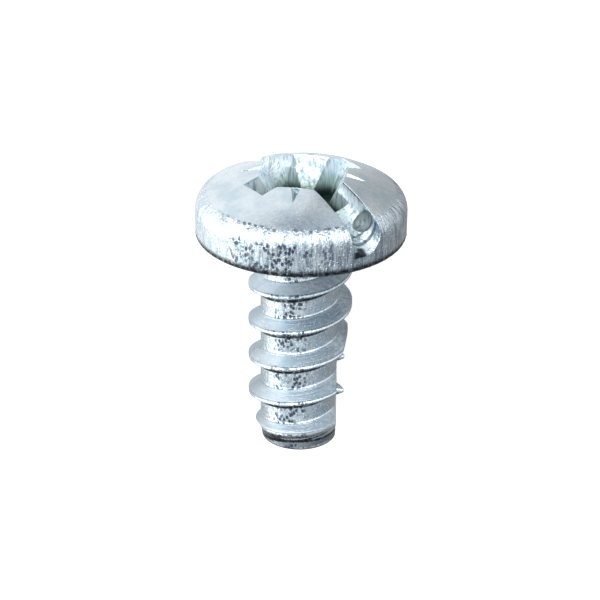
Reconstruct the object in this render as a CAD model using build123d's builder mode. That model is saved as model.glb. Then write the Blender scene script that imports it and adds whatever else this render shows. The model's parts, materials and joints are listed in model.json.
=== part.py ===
from build123d import *
from math import asin, atan2, ceil, degrees, floor, hypot, radians, sqrt, tan
import os

os.makedirs("parts", exist_ok=True)

# All lengths are in millimetres and all angles in degrees. The screw is first made upright,
# head up, with the middle of its bearing face at the origin. An azimuth is counted from the
# front side (-Y) towards the right side (+X). At the end the screw is laid down as it rests.

# Pan head
head_diameter = 6.8
head_height = 2.26
crown_radius = 6.2
shoulder_radius = 0.66
rim_edge_radius = 0.12
neck_radius = 0.45

# Shank below the bearing face
shank_length = 7.39
core_diameter = 2.6
end_taper_length = 0.35
end_taper_depth = 0.06

# Rolled tapping thread, right hand
thread_diameter = 3.4
thread_pitch = 1.3
thread_flank_angle = 60.0
crest_width = 0.14
first_crest_depth = 1.48
thread_gap_under_neck = 0.05
thread_fade_in = 0.3
thread_fade_out = 0.9
plain_end_length = 0.12

# Cutting flute on the right side of the tip
flute_floor_height = 1.22
flute_wall_offset = 0.8
flute_straight_length = 2.75
flute_cutter_radius = 1.7

# Combined drive: its slot points to this azimuth and it is struck this far off the axis,
# towards the slot's back wall
slot_azimuth = 36.0
drive_offset = 0.08
slot_width = 1.13
slot_crown_depth = 0.77
slot_rim_height = 0.5

# Cross recess of type Z
recess_depth = 1.51
recess_flank_angle = 26.5
wing_span = 3.92
wing_width = 1.02
wing_draft_angle = 3.0
core_flat_span = 2.72
recess_point_depth = 0.25

# Marks between the wings
mark_reach = 2.14
mark_width = 0.34
mark_length = 0.8

# Round hollow in the slot's right wall
hollow_radius = 0.37
hollow_reach = 2.62
hollow_height = 1.31
hollow_offset = 0.3

# Room that a cutting shape has beyond the surface it cuts
cut_margin = 0.3
# How far the thread's rib is rooted in the core
root_overlap = 0.06

# Values that follow from the sizes above
head_radius = head_diameter / 2
core_radius = core_diameter / 2
crest_radius = thread_diameter / 2
crown_center_z = head_height - crown_radius
shoulder_center_r = head_radius - shoulder_radius
shoulder_center_z = crown_center_z + sqrt((crown_radius - shoulder_radius) ** 2 - shoulder_center_r**2)
shoulder_start = degrees(atan2(shoulder_center_z - crown_center_z, shoulder_center_r))
end_radius = core_radius - end_taper_depth


def crown_z(r):
    """Height of the crown at a distance r from the axis."""
    return crown_center_z + sqrt(crown_radius**2 - r**2)


# Blank: head, neck, core and end in one turned outline
with BuildPart() as blank:
    with BuildSketch(Plane.XZ):
        with BuildLine():
            CenterArc((0, crown_center_z), crown_radius, shoulder_start, 90 - shoulder_start)
            CenterArc((shoulder_center_r, shoulder_center_z), shoulder_radius, 0, shoulder_start)
            Line((head_radius, shoulder_center_z), (head_radius, rim_edge_radius))
            CenterArc((head_radius - rim_edge_radius, rim_edge_radius), rim_edge_radius, -90, 90)
            Line((head_radius - rim_edge_radius, 0), (core_radius + neck_radius, 0))
            CenterArc((core_radius + neck_radius, -neck_radius), neck_radius, 90, 90)
            Line((core_radius, -neck_radius), (core_radius, end_taper_length - shank_length))
            Line((core_radius, end_taper_length - shank_length), (end_radius, -shank_length))
            Line((end_radius, -shank_length), (0, -shank_length))
            Line((0, -shank_length), (0, head_height))
        make_face()
    revolve(axis=Axis.Z)

# Thread rib: one helical sweep, faded in under the head and out above the end
flank_slope = tan(radians(thread_flank_angle / 2))
rib_root_radius = core_radius - root_overlap
rib_root_half = crest_width / 2 + (crest_radius - rib_root_radius) * flank_slope
fade_inner_radius = rib_root_radius - root_overlap
turns_below_first = ceil((shank_length - first_crest_depth) / thread_pitch)
helix_start_z = thread_pitch / 4 - first_crest_depth - turns_below_first * thread_pitch
fade_outer_radius = crest_radius + cut_margin
fade_stretch = (fade_outer_radius - fade_inner_radius) / (crest_radius - fade_inner_radius)
thread_top_z = -neck_radius - thread_gap_under_neck
thread_end_z = plain_end_length - shank_length
with BuildPart() as thread:
    with BuildLine() as thread_path:
        Helix(
            pitch=thread_pitch,
            height=-helix_start_z,
            radius=core_radius,
            center=(0, 0, helix_start_z),
        )
    with BuildSketch(Plane.XZ):
        with BuildLine():
            Polyline(
                (rib_root_radius, helix_start_z - rib_root_half),
                (crest_radius, helix_start_z - crest_width / 2),
                (crest_radius, helix_start_z + crest_width / 2),
                (rib_root_radius, helix_start_z + rib_root_half),
                close=True,
            )
        make_face()
    sweep(path=thread_path.line, is_frenet=True)
    with BuildSketch(Plane.XZ):
        with BuildLine():
            Polyline(
                (0, thread_top_z),
                (fade_inner_radius, thread_top_z),
                (fade_outer_radius, thread_top_z - thread_fade_in * fade_stretch),
                (fade_outer_radius, thread_end_z + thread_fade_out * fade_stretch),
                (fade_inner_radius, thread_end_z),
                (0, thread_end_z),
                close=True,
            )
        make_face()
    revolve(axis=Axis.Z, mode=Mode.INTERSECT)

# Arched slot blade, along X: its round bottom follows the crown out through the rim
slot_bottom_z = head_height - slot_crown_depth
slot_drop = slot_bottom_z - slot_rim_height
slot_arch_radius = (head_radius**2 + slot_drop**2) / (2 * slot_drop)
slot_arch_center_z = slot_bottom_z - slot_arch_radius
with BuildPart() as slot_blade:
    with BuildSketch(Plane.XY.offset(slot_arch_center_z)):
        with Locations((slot_arch_radius + slot_width / 2, 0)):
            Circle(slot_width / 2)
            Rectangle(head_height, slot_width, align=(Align.MIN, Align.CENTER))
    revolve(axis=Axis((0, 0, slot_arch_center_z), (0, -1, 0)), revolution_arc=180)

# Cross punch: two crossed wings, a square core turned by 45 degrees and a point
flank_run = tan(radians(recess_flank_angle))
draft_run = tan(radians(wing_draft_angle))
recess_floor_z = head_height - recess_depth
punch_top_z = head_height + cut_margin
wing_rim_z = crown_z(wing_span / 2)
flat_rim_z = crown_z(core_flat_span / 2)


def wing_sizes(z):
    """Length and width of a wing at the height z."""
    return wing_span + 2 * (z - wing_rim_z) * flank_run, wing_width + 2 * (z - wing_rim_z) * draft_run


def core_size(z):
    """Distance between opposite flats of the recess core at the height z."""
    return core_flat_span + 2 * (z - flat_rim_z) * flank_run


# One mark between the wings: a slim square pyramid that lies along the crown, its tip outwards
mark_tip = Vector(mark_reach, 0, crown_z(mark_reach))
mark_mouth = Vector(core_flat_span / 2, 0, crown_z(core_flat_span / 2))
mark_inward = (mark_mouth - mark_tip).normalized()
mark_base = mark_tip + mark_inward * mark_length
mark_base_half = mark_width / 2 * mark_length / (mark_mouth - mark_tip).length
with BuildPart() as mark_wedge:
    with BuildSketch(Plane(origin=mark_base, x_dir=(0, 1, 0), z_dir=mark_inward)) as mark_section:
        RegularPolygon(radius=mark_base_half, side_count=4)
    loft(sections=[mark_section.sketch, Vertex(mark_tip)])

with BuildPart() as cross_punch:
    for turn in (0, 90):
        for z in (recess_floor_z, punch_top_z):
            with BuildSketch(Plane.XY.offset(z)):
                Rectangle(*wing_sizes(z), rotation=turn)
        loft(ruled=True)
    for z in (recess_floor_z, punch_top_z):
        with BuildSketch(Plane.XY.offset(z)):
            Rectangle(core_size(z), core_size(z), rotation=45)
    loft(ruled=True)
    with Locations((0, 0, recess_floor_z)):
        Cone(
            bottom_radius=0,
            top_radius=core_size(recess_floor_z) / 2,
            height=recess_point_depth,
            align=(Align.CENTER, Align.CENTER, Align.MAX),
        )
    with PolarLocations(0, 4, start_angle=45):
        add(mark_wedge.part)
    with Locations((hollow_reach, hollow_offset, hollow_height)):
        Sphere(hollow_radius)

# Upright screw: blank and thread, less the drive and the flute
drive_place = Location((0, 0, 0), (0, 0, slot_azimuth - 90)) * Location((0, drive_offset, 0))
flute_top_z = flute_straight_length - shank_length
flute_rise = crest_radius + cut_margin - flute_floor_height
flute_run_out = sqrt(flute_cutter_radius**2 - (flute_cutter_radius - flute_rise) ** 2)
flute_outer = crest_radius + cut_margin
with BuildPart() as upright:
    add(blank.part)
    add(thread.part)
    with Locations(drive_place):
        add(slot_blade.part, mode=Mode.SUBTRACT)
        add(cross_punch.part, mode=Mode.SUBTRACT)
    with BuildSketch(Plane.XZ.offset(-flute_wall_offset)):
        with BuildLine():
            Line((flute_floor_height, -shank_length - cut_margin), (flute_floor_height, flute_top_z))
            RadiusArc(
                (flute_floor_height, flute_top_z),
                (flute_outer, flute_top_z + flute_run_out),
                flute_cutter_radius,
            )
            Polyline(
                (flute_outer, flute_top_z + flute_run_out),
                (flute_outer, -shank_length - cut_margin),
                (flute_floor_height, -shank_length - cut_margin),
            )
        make_face()
    extrude(amount=flute_wall_offset + flute_outer, mode=Mode.SUBTRACT)

# Rest: the screw lies front side up on the edge of its rim and on its thread or its end.
# The tilt is that of the line that touches the rim's rounding and the further out of two points,
# the end's edge and the last full crest on the back side, half a turn from the front crests.
rim_round_r = head_radius - rim_edge_radius
back_crest_z = thread_pitch / 2 - first_crest_depth
turns_to_last = floor((back_crest_z - thread_end_z - thread_fade_out) / thread_pitch)
last_crest_z = back_crest_z - turns_to_last * thread_pitch - crest_width / 2


def tilt_to(point_r, point_z):
    """Tilt of the axis at which the rim and a circle further down the shank both touch."""
    run = rim_edge_radius - point_z
    drop = rim_round_r - point_r
    return degrees(atan2(drop, run) + asin(rim_edge_radius / hypot(run, drop)))


rest_tilt = min(tilt_to(end_radius, -shank_length), tilt_to(crest_radius, last_crest_z))
with BuildPart() as screw:
    add(upright.part, rotation=(rest_tilt - 90, 0, 0))

screw.part.label = "screw"
export_step(screw.part, "parts/screw.step")

box = screw.part.bounding_box()
print("rest tilt", round(rest_tilt, 4), "volume", round(screw.part.volume, 2))
print("box", [round(v, 3) for v in (*box.min, *box.max)], "solids", len(screw.part.solids()))
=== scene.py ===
# %% [markdown]
# # A zinc plated pan head tapping screw
# This scene dresses one small steel screw and photographs it in a plain studio. The screw was made as
# a solid first, lying on a table as it comes to rest, and this script adds what a camera sees: the
# bright zinc skin, the marks of the tools that formed it, a floor, a room, lamps and a camera. We begin
# by loading the solid, because every later size is measured from it.

# %% Load the solid screw
import json
import math

import bpy
from mathutils import Matrix, Vector


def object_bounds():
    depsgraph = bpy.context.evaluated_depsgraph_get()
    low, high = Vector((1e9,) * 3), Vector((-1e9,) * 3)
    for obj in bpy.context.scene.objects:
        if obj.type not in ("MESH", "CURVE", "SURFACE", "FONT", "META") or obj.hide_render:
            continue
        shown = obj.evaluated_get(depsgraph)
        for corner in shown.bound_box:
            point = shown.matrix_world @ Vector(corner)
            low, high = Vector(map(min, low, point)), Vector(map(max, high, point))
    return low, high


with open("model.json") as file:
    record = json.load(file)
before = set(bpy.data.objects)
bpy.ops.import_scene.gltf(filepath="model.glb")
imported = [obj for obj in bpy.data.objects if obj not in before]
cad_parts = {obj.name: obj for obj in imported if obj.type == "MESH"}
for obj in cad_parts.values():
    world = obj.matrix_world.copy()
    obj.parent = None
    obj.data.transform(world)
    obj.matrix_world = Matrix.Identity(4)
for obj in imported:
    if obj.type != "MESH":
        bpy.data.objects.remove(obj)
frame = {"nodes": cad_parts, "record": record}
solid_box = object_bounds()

mm = 0.001
screw = frame["nodes"]["screw"]
print("solid box in mm", [tuple(round(v / mm, 3) for v in corner) for corner in solid_box])

# %% [markdown]
# ## The screw's own axes
# The screw lies on the edge of its head and on its thread, so its axis leans a little from the table.
# Patterns such as the lines on the rim follow the screw and not the table, so we need the turn between
# the two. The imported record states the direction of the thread, and one rotation about X brings it
# upright.

# %% Work out how the screw lies
mounts = {mount["name"]: mount for mount in frame["record"]["mounts"]}
shank_axis = Vector(mounts["thread"]["axis"])
rest_tilt = math.asin(-shank_axis.z)
laid_down = Matrix.Rotation(rest_tilt - math.pi / 2, 3, "X")
print("rest tilt", round(math.degrees(rest_tilt), 2), "degrees")


def lying(x, y, z):
    """Turn millimetres measured on the upright screw into metres in the scene."""
    return laid_down @ Vector((x, y, z)) * mm


# %% [markdown]
# ## Camera
# A product photograph of something this small is taken from a little way above the head with a long
# lens. The height above the head comes from how open the circle of the rim looks, and the distance
# from how much smaller the far end of the shank is. We aim at a point halfway down the shank.

# %% Where the camera stands
camera_height_angle = math.radians(27.25)
camera_roll = math.radians(0.6)
camera_distance = 67.8
aim_depth = -3.003

to_camera = laid_down @ Vector((0, -math.cos(camera_height_angle), math.sin(camera_height_angle)))
picture_up = laid_down @ Vector((0, math.sin(camera_height_angle), math.cos(camera_height_angle)))
picture_right = Vector((1, 0, 0))
aim = lying(0, 0, aim_depth)

camera_x = picture_right * math.cos(camera_roll) + picture_up * math.sin(camera_roll)
camera_y = picture_up * math.cos(camera_roll) - picture_right * math.sin(camera_roll)
camera_place = Matrix((camera_x, camera_y, to_camera)).transposed().to_4x4()
camera_place.translation = aim + to_camera * camera_distance * mm
print("camera", camera_distance, "mm from the shank")

# %% Lens and camera
pixels_per_mm = 30.505
picture_width = 600
aim_in_picture = (300.1, 315.2)

lens = bpy.data.cameras.new("camera")
lens.sensor_width = 36
lens.lens = lens.sensor_width * pixels_per_mm * camera_distance / picture_width
lens.shift_x = (picture_width / 2 - aim_in_picture[0]) / picture_width
lens.shift_y = (aim_in_picture[1] - picture_width / 2) / picture_width
lens.clip_start = 1 * mm
lens.clip_end = 5
camera = bpy.data.objects.new("camera", lens)
camera.matrix_world = camera_place
bpy.context.scene.collection.objects.link(camera)
bpy.context.scene.camera = camera
bpy.context.scene.view_settings.view_transform = "Standard"
print("lens", round(lens.lens, 1), "mm")

# %% [markdown]
# ## Small helpers for materials
# A material is a chain of nodes, and a few helpers keep the chains readable. One makes a node, one does
# a sum, one fades a value softly between two limits, and one lays a colour over another.

# %% Helpers that make nodes


def add_node(tree, kind, **settings):
    """Add a node and set its plain settings."""
    made = tree.nodes.new(kind)
    for name, value in settings.items():
        setattr(made, name, value)
    return made


def feed(tree, socket, value):
    """Connect a socket to another node's output, or give it a plain value."""
    if isinstance(value, bpy.types.NodeSocket):
        tree.links.new(value, socket)
    else:
        socket.default_value = value


def new_material(name):
    """An empty node material with its shader, and the two nodes to work with."""
    made = bpy.data.materials.new(name)
    made.use_nodes = True
    return made, made.node_tree, made.node_tree.nodes["Principled BSDF"]


print("node helpers ready")

# %% Helpers for sums and fades


def calc(tree, operation, *values):
    """Do one sum and return its result."""
    made = add_node(tree, "ShaderNodeMath", operation=operation)
    for socket, value in zip(made.inputs, values):
        feed(tree, socket, value)
    return made.outputs[0]


def times(tree, result, *others):
    """Multiply any number of values."""
    for value in others:
        result = calc(tree, "MULTIPLY", result, value)
    return result


def highest(tree, result, *others):
    """Keep the highest of any number of values."""
    for value in others:
        result = calc(tree, "MAXIMUM", result, value)
    return result


def fade(tree, value, start, end, low=0.0, high=1.0):
    """Go softly from low at start to high at end."""
    made = add_node(tree, "ShaderNodeMapRange", interpolation_type="SMOOTHSTEP")
    names = ("Value", "From Min", "From Max", "To Min", "To Max")
    for name, item in zip(names, (value, start, end, low, high)):
        feed(tree, made.inputs[name], item)
    return made.outputs["Result"]


def lay_over(tree, share, under, over):
    """Cover one colour with another by a share from 0 to 1."""
    made = add_node(tree, "ShaderNodeMix", data_type="RGBA")
    feed(tree, made.inputs[0], share)
    feed(tree, made.inputs[6], under)
    feed(tree, made.inputs[7], over)
    return made.outputs[2]


print("sum helpers ready")

# %% [markdown]
# ## Zinc plating
# The screw is steel wire that was headed and thread rolled cold, and then plated with a few
# micrometres of zinc and passivated to a cold blue-white. A picture wrapped around it would stretch
# over the thread, so the skin is made of patterns that know their place on the screw instead. The
# coordinates are first turned upright and counted in millimetres from the bearing face: the height,
# the reach from the axis, and the turn around it from the front, in radians.

# %% Coordinates on the screw
zinc, skin, shader = new_material("bright_zinc_plating")


def slanted(tree, first, second):
    """The long side of a right triangle with these two short sides."""
    return calc(tree, "SQRT", calc(tree, "ADD", times(tree, first, first), times(tree, second, second)))


upright = add_node(skin, "ShaderNodeMapping")
upright.inputs["Rotation"].default_value = (math.pi / 2 - rest_tilt, 0, 0)
upright.inputs["Scale"].default_value = (1 / mm, 1 / mm, 1 / mm)
feed(skin, upright.inputs["Vector"], add_node(skin, "ShaderNodeTexCoord").outputs["Object"])
spot = upright.outputs["Vector"]
spot_parts = add_node(skin, "ShaderNodeSeparateXYZ")
feed(skin, spot_parts.inputs[0], spot)
side, depth, height = spot_parts.outputs
reach = slanted(skin, side, depth)
turn = calc(skin, "ARCTAN2", side, times(skin, depth, -1.0))
print("coordinates turn by", round(90 - math.degrees(rest_tilt), 2), "degrees")

# %% [markdown]
# ## Zones of the head and the shank
# The rim wall, the shoulder, the drive, the shank and the end were formed in different ways and wear
# different marks. They could be picked face by face, but the solid is a mesh of thousands of small
# triangles. So each zone gets a mask from its place on the screw, which is 1 inside the zone and fades
# to 0 around it. What lies deeper than the crown's sphere, but inside the rim, belongs to the drive.

# %% Masks for the zones
head_height = 2.26
crown_radius = 6.2
rim_radius = 3.4
shank_end = -7.39
crown_centre = head_height - crown_radius

on_head = fade(skin, height, -0.02, 0.02)
on_shank = fade(skin, height, -0.05, -0.15)
on_end = fade(skin, height, shank_end + 0.37, shank_end + 0.33)
rim_wall_reach = fade(skin, reach, rim_radius - 0.12, rim_radius - 0.02)
on_rim = times(skin, rim_wall_reach, fade(skin, height, 1.25, 0.85), on_head)
on_shoulder = times(skin, fade(skin, reach, 2.95, 3.12), fade(skin, height, 0.8, 1.0))
on_die_faces = highest(skin, on_rim, on_shoulder)
print("crown centre at", round(crown_centre, 2), "mm")

# %% Masks for the drive
dark_from = 0.8
dark_to = 1.2

from_centre = slanted(skin, reach, calc(skin, "SUBTRACT", height, crown_centre))
below_crown = calc(skin, "SUBTRACT", crown_radius, from_centre)
inside_rim = fade(skin, reach, rim_radius - 0.05, rim_radius - 0.25)
in_drive = times(skin, fade(skin, below_crown, 0.03, 0.12), inside_rim, fade(skin, height, 0.15, 0.35))
in_recess = times(skin, in_drive, fade(skin, reach, 2.5, 2.1))
# The lower walls and the bottom of the recess get painted shade, darker the deeper they lie.
lower_wall_shade = times(skin, in_recess, fade(skin, below_crown, 0.45, 0.9))
depth_shade = times(skin, in_recess, fade(skin, below_crown, dark_from, dark_to))
print("the recess turns dark", dark_from, "to", dark_to, "mm below the crown")

# %% [markdown]
# ## Faces and corners that follow the thread
# A rolled thread repeats every pitch, and so do its shades. We measure how far a spot is from the
# crest along the axis: 0 on the crest, and counted up and down to the middle between two turns. The
# flank above the crest is the broad grey face that the camera sees, and the narrow corner below the
# crest gets painted shade, because it sees little but the thread over it.

# %% Masks that follow the thread
thread_pitch = 1.3
first_crest = -1.48
flank_limits = (0.04, 0.10, 0.28, 0.36)
corner_limits = (-0.40, -0.37, -0.28, -0.24)


def band(tree, value, limits):
    """Rise from the first limit to the second, and fall from the third to the fourth."""
    rise_start, rise_end, fall_start, fall_end = limits
    return times(tree, fade(tree, value, rise_start, rise_end), fade(tree, value, fall_end, fall_start))


climb = times(skin, turn, thread_pitch / (2 * math.pi))
unwound = calc(skin, "SUBTRACT", height, climb)
from_first = calc(skin, "SUBTRACT", unwound, first_crest - thread_pitch / 2)
from_crest = calc(skin, "FLOORED_MODULO", from_first, thread_pitch)
from_crest = calc(skin, "SUBTRACT", from_crest, thread_pitch / 2)
on_thread = times(skin, on_shank, fade(skin, height, shank_end + 0.05, shank_end + 0.12))
on_flank = times(skin, band(skin, from_crest, flank_limits), on_thread)
crest_corner_shade = times(skin, band(skin, from_crest, corner_limits), on_thread)
print("thread lines repeat every", thread_pitch, "mm")

# %% [markdown]
# ## Dark edges
# Three more places see little light: the lower edge of the rim, the neck right under the head, and the
# groove where the thread runs out above the plain end. The photograph shows them as thin dark lines.
# Lamps alone leave them grey in a mirror-like metal, so they get masks too, and painted shade
# darkens them later.

# %% Masks for the dark edges
rim_edge = times(skin, fade(skin, height, 0.30, 0.13), fade(skin, reach, 3.22, 3.32))
neck_edge = times(skin, band(skin, height, (-0.5, -0.3, -0.02, 0.02)), fade(skin, reach, 1.85, 1.70))
groove_limits = [shank_end + above for above in (0.28, 0.33, 0.37, 0.42)]
above_end = band(skin, height, groove_limits)
edge_shade = highest(skin, crest_corner_shade, rim_edge, neck_edge, above_end)
print("groove from", round(groove_limits[0], 2), "to", round(groove_limits[3], 2), "mm")

# %% [markdown]
# ## Small marks of the drive
# Four small things show in and beside the drive. Two faint arcs cross the slot's bottom near its exit.
# The corner where the slot leaves the rim gets a nearly black painted shade, the front one of the four
# marks between the wings gets painted shade on its left wall, and the small round hollow in the slot's
# right wall is painted a dull dark green as its shade. Arcs and hollow are placed along the slot,
# because they turn with it.

# %% Masks along the slot
slot_turn = math.radians(36.0)
arcs_along_slot = ((2.75, 0.05, 0.02), (3.03, 0.07, 0.03))
hollow_along, hollow_across, hollow_height = 2.62, 0.38, 1.31


def distance_from(tree, value, middle):
    """How far a value is from its middle, on either side."""
    return calc(tree, "ABSOLUTE", calc(tree, "SUBTRACT", value, middle))


to_side = times(skin, side, math.sin(slot_turn))
along_slot = calc(skin, "SUBTRACT", to_side, times(skin, depth, math.cos(slot_turn)))
arcs = [
    fade(skin, distance_from(skin, along_slot, middle), outer, inner)
    for middle, outer, inner in arcs_along_slot
]
slot_arcs = times(skin, highest(skin, *arcs), in_drive)
hollow_centre = (
    hollow_along * math.sin(slot_turn) + hollow_across * math.cos(slot_turn),
    hollow_across * math.sin(slot_turn) - hollow_along * math.cos(slot_turn),
    hollow_height,
)
to_hollow = add_node(skin, "ShaderNodeVectorMath", operation="DISTANCE")
feed(skin, to_hollow.inputs[0], spot)
feed(skin, to_hollow.inputs[1], hollow_centre)
# The hollow's mask is later filled with painted shade.
in_hollow = fade(skin, to_hollow.outputs["Value"], 0.40, 0.35)
print("hollow at", [round(v, 3) for v in hollow_centre])

# %% Masks by the turn around the axis
exit_turn = math.radians(33.06)
exit_heights = (0.44, 0.50, 0.66, 0.74)
mark_turns = (-0.5, -0.4, -0.15, -0.06)

# The slot's exit corner and the front mark's left wall are masks for painted shade.
beside_exit = distance_from(skin, turn, exit_turn)
exit_corner_shade = times(skin, fade(skin, beside_exit, 0.09, 0.05), fade(skin, reach, 3.10, 3.20))
exit_corner_shade = times(skin, exit_corner_shade, band(skin, height, exit_heights))
mark_wall_shade = times(skin, in_drive, fade(skin, reach, 1.28, 1.38), band(skin, turn, mark_turns))
print("slot leaves the rim at", round(math.degrees(exit_turn), 1), "degrees")

# %% [markdown]
# ## Cloudy patterns
# Plated zinc isn't even: it has soft clouds, and it sparkles, because it is made of tiny crystals. One
# kind of noise gives all of them, at different sizes. The clouds colour the zinc and gather its specks.
# The sparkle becomes height later on, more than paint, so that each grain turns the light in its own
# way, and the finest grain breaks up the specks.

# %% Clouds and sparkle


def grain(tree, vector, scale, detail=3.0, roughness=0.6):
    """A cloudy pattern from 0 to 1."""
    made = add_node(tree, "ShaderNodeTexNoise")
    feed(tree, made.inputs["Vector"], vector)
    made.inputs["Scale"].default_value = scale
    made.inputs["Detail"].default_value = detail
    made.inputs["Roughness"].default_value = roughness
    return made.outputs["Fac"]


clouds_per_mm = 1.6
small_clouds_per_mm = 2.6
sparkles_per_mm = 8.0
fine_grains_per_mm = 13.0

clouds = grain(skin, spot, clouds_per_mm, detail=4.0)
small_clouds = grain(skin, spot, small_clouds_per_mm, detail=1.0)
sparkle = grain(skin, spot, sparkles_per_mm, detail=2.5, roughness=0.65)
fine_grain = grain(skin, spot, fine_grains_per_mm, detail=1.0)
print("clouds about", round(1 / clouds_per_mm, 2), "mm wide")

# %% [markdown]
# ## Tool marks
# The heading die leaves fine upright lines on the rim and the shoulder, the punch leaves upright lines
# on the walls of the recess, and the rolling dies leave lines that wind along the thread. Each is the
# same noise on stretched coordinates: it changes fast across the lines and slowly along them.

# %% Lines of the die, the punch and the rolling dies


def coordinates(tree, *values):
    """Join up to three values to the coordinates that a pattern reads."""
    made = add_node(tree, "ShaderNodeCombineXYZ")
    for socket, value in zip(made.inputs, values):
        feed(tree, socket, value)
    return made.outputs[0]


die_lines_per_radian = 26.0
punch_lines_per_mm = 9.0
rolling_lines_per_mm = 14.0

around = coordinates(skin, times(skin, turn, die_lines_per_radian), times(skin, height, 1.3))
across_punch = [times(skin, way, punch_lines_per_mm) for way in (side, depth)]
downwards = coordinates(skin, *across_punch, times(skin, height, 0.9))
across_thread = [times(skin, way, rolling_lines_per_mm) for way in (unwound, reach)]
winding = coordinates(skin, times(skin, turn, 0.8), *across_thread)
die_lines = grain(skin, around, 1.0, detail=4.0, roughness=0.65)
punch_lines = grain(skin, downwards, 1.0)
rolling_lines = grain(skin, winding, 1.0)
print("three kinds of tool lines")

# %% [markdown]
# ## Dents and specks
# A single row of small round dents runs along the front edge of the crown, and clusters of dark specks
# lie on the front of the rim and of the core. They could be modelled, but each is only a few points of
# the picture wide, so they are painted: the dark of each dent is painted shade, and the specks are the
# zinc's grains with a painted dark reflection. Both start from scattered points: a dot is what lies
# close to a point. The row's points are scattered less, so that it looks almost regular.

# %% Row of dents along the crown's edge


def from_points(tree, vector, scale=1.0, dimensions="2D", scatter=1.0):
    """Distance to the nearest one of many scattered points."""
    made = add_node(tree, "ShaderNodeTexVoronoi", feature="F1", voronoi_dimensions=dimensions)
    feed(tree, made.inputs["Vector"], vector)
    made.inputs["Scale"].default_value = scale
    made.inputs["Randomness"].default_value = scatter
    return made.outputs["Distance"]


dents_per_mm = 4.6
row_middle_turn = -0.2

along_rim = times(skin, turn, reach)
crown_edge = times(skin, band(skin, reach, (2.98, 3.01, 3.19, 3.22)), fade(skin, height, 1.2, 1.3))
crown_edge = times(skin, crown_edge, fade(skin, distance_from(skin, turn, row_middle_turn), 0.9, 0.5))
row_place = coordinates(skin, times(skin, along_rim, dents_per_mm), times(skin, reach, 5.0))
edge_dents = fade(skin, from_points(skin, row_place, scatter=0.55), 0.36, 0.22)
edge_dents = times(skin, edge_dents, crown_edge, fade(skin, small_clouds, 0.36, 0.50, 0.15, 1.0))
print("dents about", round(1 / dents_per_mm, 2), "mm apart")

# %% Where the specks lie
speck_right_limit = fade(skin, height, -0.1, 0.0, 0.34, 0.60)
front_left = times(skin, fade(skin, turn, -0.80, -0.62), fade(skin, turn, speck_right_limit, 0.05))
lower_rim = times(skin, fade(skin, height, 1.20, 1.05), fade(skin, reach, 3.2, 3.3), on_head)
speck_share = times(skin, highest(skin, on_shank, lower_rim), front_left)
speck_share = times(skin, speck_share, fade(skin, small_clouds, 0.36, 0.50))
speck_share = times(skin, speck_share, calc(skin, "SUBTRACT", 1.0, on_flank))
print("specks on the front of the rim and of the core")

# %% Specks and pits
specks_per_mm = 7.5
speck_rows_per_mm = 5.5
pits_per_mm = 11.0

speck_row = times(skin, height, speck_rows_per_mm)
speck_place = coordinates(skin, times(skin, along_rim, specks_per_mm), speck_row)
small_dots = fade(skin, from_points(skin, speck_place), 0.46, 0.28)
specks = highest(skin, small_dots, fade(skin, fine_grain, 0.52, 0.62, 0.0, 0.7))
specks = times(skin, specks, speck_share)
pits = fade(skin, from_points(skin, spot, scale=pits_per_mm, dimensions="3D"), 0.3, 0.12)
print("specks about", round(1 / specks_per_mm, 2), "mm wide")

# %% [markdown]
# ## Colour of the plating
# The zinc itself runs between two cold greys in soft clouds. Over it lie the tool lines and painted
# shade, one after another as a painter would do it, broad ones first and small ones last: the recess,
# the thread's corners and flank, the edges, the dents and specks, and the drive's small marks. A
# metal's colour tints what it mirrors, so a dark colour on the mirror-like skin reads as a place that
# mirrors something dark.

# %% Colours
pale = (0.80, 0.89, 0.95, 1)
blue_grey = (0.64, 0.76, 0.84, 1)
# The greens and the near black are colours of painted shade.
shade_green_grey = (0.50, 0.62, 0.60, 1)
dark_grey = (0.20, 0.23, 0.27, 1)
steel_blue = (0.26, 0.34, 0.42, 1)
punch_grey = (0.20, 0.30, 0.31, 1)
deep_shade_green = (0.06, 0.10, 0.088, 1)
hollow_shade_green = (0.05, 0.08, 0.075, 1)
navy = (0.05, 0.075, 0.115, 1)
shade_black = (0.012, 0.016, 0.02, 1)
print("zinc runs from", blue_grey[:3], "to", pale[:3])

# %% Lay the shades over each other
die_shade = times(skin, fade(skin, die_lines, 0.56, 0.40), on_die_faces)
die_shade = times(skin, die_shade, fade(skin, turn, -0.75, -0.35, 0.2, 0.75))
flank_shade = times(skin, on_flank, fade(skin, turn, -0.6, 0.3, 0.1, 0.6))
flank_shade = times(skin, flank_shade, fade(skin, sparkle, 0.40, 0.60, 0.6, 1.2))
shades = (
    # painted shade on the recess's lower walls
    (lower_wall_shade, shade_green_grey),
    (times(skin, on_end, 0.75), dark_grey),
    (die_shade, steel_blue),
    (times(skin, fade(skin, punch_lines, 0.52, 0.38), in_drive, 0.7), punch_grey),
    # painted shade, darkest at the bottom of the recess
    (depth_shade, deep_shade_green),
    # painted shade of the dents along the crown's edge
    (times(skin, edge_dents, 0.7), navy),
    # painted shade on the left wall of the front mark
    (times(skin, mark_wall_shade, 0.8), deep_shade_green),
    # the zinc's grains as specks, darkened with painted reflection
    (times(skin, specks, fade(skin, small_clouds, 0.42, 0.60, 0.65, 0.95)), navy),
    # painted shade on the flank, darker towards the right
    (flank_shade, steel_blue),
    (times(skin, slot_arcs, 0.75), navy),
    # painted shade in the corner where the slot leaves the rim
    (times(skin, exit_corner_shade, 0.95), shade_black),
    # painted shade in the round hollow
    (in_hollow, hollow_shade_green),
    # painted shade on the corners below the crests and on the dark edges
    (times(skin, edge_shade, fade(skin, sparkle, 0.35, 0.50, 0.65, 0.98)), shade_black),
)
colour = lay_over(skin, fade(skin, clouds, 0.35, 0.65), blue_grey, pale)
for share, shade in shades:
    colour = lay_over(skin, share, colour, shade)
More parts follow.
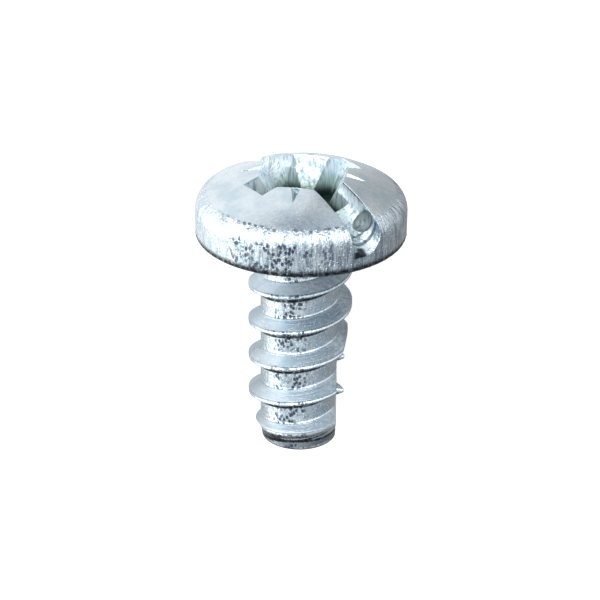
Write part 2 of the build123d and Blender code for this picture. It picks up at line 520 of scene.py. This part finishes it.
feed(skin, shader.inputs["Base Color"], colour)
print(len(shades), "shades over the zinc")

# %% [markdown]
# ## Gloss
# Zinc plating is a metal and mirrors the room, so the skin is metallic and rather smooth, and a little
# rougher where crystals and rubbing dull it. Three places look the same from everywhere, as a dull
# surface does: the hollow, the upper walls of the recess, and the flank nearest the head. There the
# skin gives up some of its mirror.

# %% Metal and roughness
smooth = 0.14
rough = 0.30
rubbed = 0.18

flank_near_head = times(skin, on_flank, fade(skin, height, -1.75, -1.5))
upper_walls = calc(skin, "SUBTRACT", in_recess, depth_shade)
matt = highest(skin, in_hollow, times(skin, flank_near_head, 0.55), times(skin, upper_walls, 0.4))
feed(skin, shader.inputs["Metallic"], calc(skin, "SUBTRACT", 1.0, matt))
shader.inputs["Specular IOR Level"].default_value = 0.1

roughness = fade(skin, sparkle, 0.3, 0.7, smooth, rough)
roughness = calc(skin, "ADD", roughness, times(skin, highest(skin, in_drive, on_flank), rubbed))
feed(skin, shader.inputs["Roughness"], roughness)
print("roughness from", smooth, "to", rough + rubbed)

# %% [markdown]
# ## Height
# The sparkle, the tool lines and tiny pits are made as height, which turns the light without adding
# faces. Each pattern runs from 0 to 1 and is centred first, so that the edge of its zone makes no
# step. The crest and the root of a rolled thread are round, and no plated edge is sharp: the first two
# are rounded by height too, and a Bevel node softens every edge.

# %% Relief of the skin
rough_zones = highest(skin, on_rim, on_shoulder, on_shank)
grain_height = calc(skin, "ADD", 0.2, times(skin, rough_zones, 1.1))
grain_height = times(skin, grain_height, calc(skin, "SUBTRACT", 1.0, times(skin, on_flank, 0.8)))
relief_parts = (
    (sparkle, grain_height, 1.0),
    (die_lines, on_die_faces, 2.2),
    (punch_lines, in_drive, 2.0),
    (rolling_lines, on_shank, 0.5),
)
relief = times(skin, pits, rough_zones, -0.5)
for pattern, zone, strength in relief_parts:
    centred = calc(skin, "SUBTRACT", pattern, 0.5)
    relief = calc(skin, "ADD", relief, times(skin, centred, zone, strength))
print(len(relief_parts), "patterns in the relief")

# %% Round the crest and the root of the thread
crest_width = 0.13
root_width = 0.12
rounding_strength = 250.0

from_edge = calc(skin, "MINIMUM", distance_from(skin, from_crest, -0.05), crest_width)
crest_round = times(skin, from_edge, from_edge, -rounding_strength)
above_root = calc(skin, "MAXIMUM", calc(skin, "SUBTRACT", 0.42, from_crest), 0.0)
above_root = calc(skin, "MINIMUM", above_root, root_width)
root_round = times(skin, above_root, above_root, rounding_strength)
rounding = times(skin, calc(skin, "ADD", crest_round, root_round), on_thread)
relief = calc(skin, "ADD", relief, rounding)
print("crest rounded over", crest_width, "mm, root over", root_width, "mm")

# %% Turn the height into light and shade
soft_edges = add_node(skin, "ShaderNodeBevel", samples=6)
feed(skin, soft_edges.inputs["Radius"], fade(skin, on_shank, 0, 1, 0.04 * mm, 0.07 * mm))
bump = add_node(skin, "ShaderNodeBump")
bump.inputs["Strength"].default_value = 1.0
bump.inputs["Distance"].default_value = 0.025 * mm
feed(skin, bump.inputs["Height"], relief)
feed(skin, bump.inputs["Normal"], soft_edges.outputs[0])
feed(skin, shader.inputs["Normal"], bump.outputs[0])

for slot in screw.material_slots:
    slot.material = zinc
print("plated", screw.name, "with", len(skin.nodes), "nodes")

# %% [markdown]
# ## Floor
# The screw lies on a pale table. The floor is a large disc at the lowest point of the screw.

# %% Make the floor
import bmesh

floor_mesh = bpy.data.meshes.new("floor")
floor_shape = bmesh.new()
bmesh.ops.create_circle(floor_shape, cap_ends=True, segments=64, radius=1.5)
bmesh.ops.translate(floor_shape, verts=floor_shape.verts, vec=(0, 0, solid_box[0].z))
floor_shape.to_mesh(floor_mesh)
floor_shape.free()
floor = bpy.data.objects.new("floor", floor_mesh)
bpy.context.scene.collection.objects.link(floor)
print("floor at", round(solid_box[0].z / mm, 3), "mm")

# %% [markdown]
# ## Paper on the floor
# The camera sees white paper. Bright metal mirrors it, though, and a screw that mirrors only white has
# no form. A photographer lays grey and white cards beside the screw, outside the picture. Here the
# paper plays the cards' part: the Light Path node tells it when the metal looks at it, and then it
# shows a grey that is lighter on the left and dark past the end of the shank, with a card on the right
# beside the head and a bright one along the left side.

# %% White paper for the camera
paper, table, paper_shader = new_material("white_paper")
paper_white = 0.93
less_white_in_metal = 0.75
glow_to_camera = 0.45

ray = add_node(table, "ShaderNodeLightPath")
seen_in_metal = ray.outputs["Is Glossy Ray"]
whiteness = calc(table, "SUBTRACT", paper_white, times(table, seen_in_metal, less_white_in_metal))
paper_colour = add_node(table, "ShaderNodeCombineColor")
for socket in paper_colour.inputs[:3]:
    feed(table, socket, whiteness)
feed(table, paper_shader.inputs["Base Color"], paper_colour.outputs[0])
paper_shader.inputs["Roughness"].default_value = 0.9
paper_shader.inputs["Specular IOR Level"].default_value = 0.0
glow_straight = times(table, ray.outputs["Is Camera Ray"], glow_to_camera)
print("paper", paper_white, "white, and", round(paper_white - less_white_in_metal, 2), "in the metal")

# %% Cards that the metal mirrors
paper_parts = add_node(table, "ShaderNodeSeparateXYZ")
feed(table, paper_parts.inputs[0], add_node(table, "ShaderNodeTexCoord").outputs["Object"])
rightwards, headwards, _ = paper_parts.outputs

grey_sheet = times(
    table,
    fade(table, rightwards, 4.5 * mm, -1 * mm, 0.20, 0.70),
    fade(table, headwards, -3 * mm, 1 * mm, 0.5, 1.0),
    fade(table, headwards, 20 * mm, 45 * mm, 1.0, 0.85),
)
right_card = fade(table, rightwards, 7.5 * mm, 16 * mm, 0.0, 0.5)
right_card = times(table, right_card, fade(table, headwards, 0.0, 6 * mm))
cards = calc(table, "ADD", grey_sheet, right_card)
cards = times(table, cards, fade(table, headwards, -12 * mm, -6 * mm, 0.1, 1.0))
left_card = fade(table, rightwards, -7 * mm, -10 * mm, 0.0, 1.3)
left_card = times(table, left_card, fade(table, headwards, 20 * mm, 10 * mm))
cards = highest(table, cards, left_card)

glow = calc(table, "ADD", glow_straight, times(table, seen_in_metal, cards))
paper_shader.inputs["Emission Color"].default_value = (1, 1, 1, 1)
feed(table, paper_shader.inputs["Emission Strength"], glow)
floor.data.materials.append(paper)
print("grey sheet and two cards on the paper")

# %% [markdown]
# ## Room
# The metal also mirrors the room, and the crown of the head mirrors it most. Straight ahead of the head
# is a low, rather dark wall, which gives the crown its even grey. Around it the room is bright, and
# behind the end of the shank it is a middle grey. It is darker on the right, and white on the far
# left, which draws a white stripe down the left side. Dim parts are a little bluer, as shade is.

# %% Light of the room
room = bpy.data.worlds.new("room")
bpy.context.scene.world = room
room.use_nodes = True
air = room.node_tree
direction = add_node(air, "ShaderNodeSeparateXYZ")
feed(air, direction.inputs[0], add_node(air, "ShaderNodeTexCoord").outputs["Generated"])
to_right, to_head, _ = direction.outputs

behind_end = fade(air, to_right, -0.05, 0.40, 0.75, 0.60)
low_wall = fade(air, to_right, -0.05, -0.45, 0.29, 0.42)
level = fade(air, to_head, -0.3, 0.25, behind_end, 1.5)
level = times(air, level, fade(air, to_head, 0.84, 0.93, 1.0, low_wall))
level = times(air, level, fade(air, to_right, 0.3, 0.7, 1.0, 0.65))
level = highest(air, level, fade(air, to_right, -0.70, -0.85, 0.0, 1.9))

shade_blue = (0.80, 0.88, 1.0, 1)
white = (1, 1, 1, 1)
background = air.nodes["Background"]
feed(air, background.inputs["Color"], lay_over(air, fade(air, level, 0.2, 0.9), shade_blue, white))
feed(air, background.inputs["Strength"], level)
print("room ready")

# %% [markdown]
# ## Lamps
# Two soft boxes do the rest. A wide one over the head gives the shoulder its white band, and a tall
# one on the left gives the rim and the core their white stripes. Their brightness is that of the box's
# own face, so a box that is made larger looks as bright as before.

# %% Two soft boxes


def soft_box(name, x, y, z, width, length, brightness):
    """A square lamp that faces the screw, placed by millimetres on the upright screw."""
    lamp = bpy.data.lights.new(name, "AREA")
    lamp.shape = "RECTANGLE"
    lamp.size = width * mm
    lamp.size_y = length * mm
    lamp.energy = brightness * math.pi * lamp.size * lamp.size_y
    made = bpy.data.objects.new(name, lamp)
    made.location = lying(x, y, z)
    made.rotation_euler = (aim - made.location).to_track_quat("-Z", "Y").to_euler()
    bpy.context.scene.collection.objects.link(made)
    print(name, "lamp", round(lamp.energy * 1000, 2), "mW")


soft_box("over_head", x=-10, y=-48, z=62, width=60, length=30, brightness=4.5)
soft_box("left_box", x=-74, y=-20, z=10, width=26, length=50, brightness=4.0)
